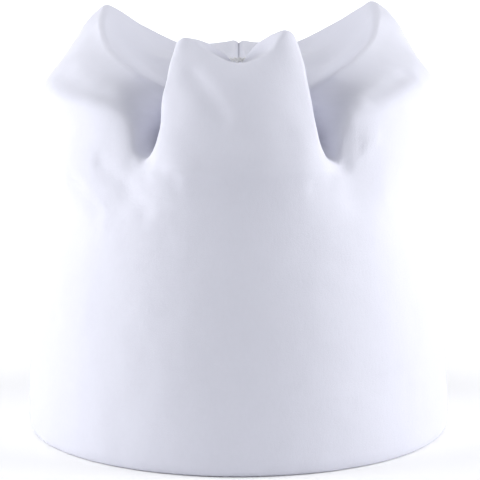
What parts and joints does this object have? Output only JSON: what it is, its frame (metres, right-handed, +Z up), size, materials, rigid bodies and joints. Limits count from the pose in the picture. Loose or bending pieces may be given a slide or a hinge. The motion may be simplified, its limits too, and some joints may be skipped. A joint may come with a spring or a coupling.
{
  "type": "chef toque",
  "caption": "Soft white chef toque with a flared round side, a gathered crown standing in tall folds, an inner lining and a sweatband around the head opening.",
  "frame": {"origin": "middle of the round lower rim, on the plane that the hat rests on", "axes": "+Z up through the crown; -Y towards the front, where the double-shouldered fold stands; +X to the right of someone looking at the front"},
  "size_m": [0.194, 0.194, 0.1901],
  "materials": {
    "shell_fleece": "matt brushed fleece",
    "lining_jersey": "matt fine jersey knit",
    "band_cotton": "matt cotton twill tape",
    "sewing_thread": "satin sewing thread",
    "label_satin": "satin ribbon, blank"
  },
  "bodies": {
    "root": {"outer_shell": "shell_fleece", "hem_facing": "shell_fleece", "back_seam_allowance": "shell_fleece", "sweatband": "band_cotton", "lining_side": "lining_jersey", "lining_crown": "lining_jersey", "crown_stay": "lining_jersey", "lining_crown_seam": "sewing_thread", "lining_back_seam": "sewing_thread", "back_seam_stitching": "sewing_thread", "hem_stitching": "sewing_thread", "sweatband_stitching": "sewing_thread", "crown_gather_thread": "sewing_thread", "crown_tack": "sewing_thread", "label_stitching": "sewing_thread", "care_label": "label_satin"}
  },
  "joints": []
}
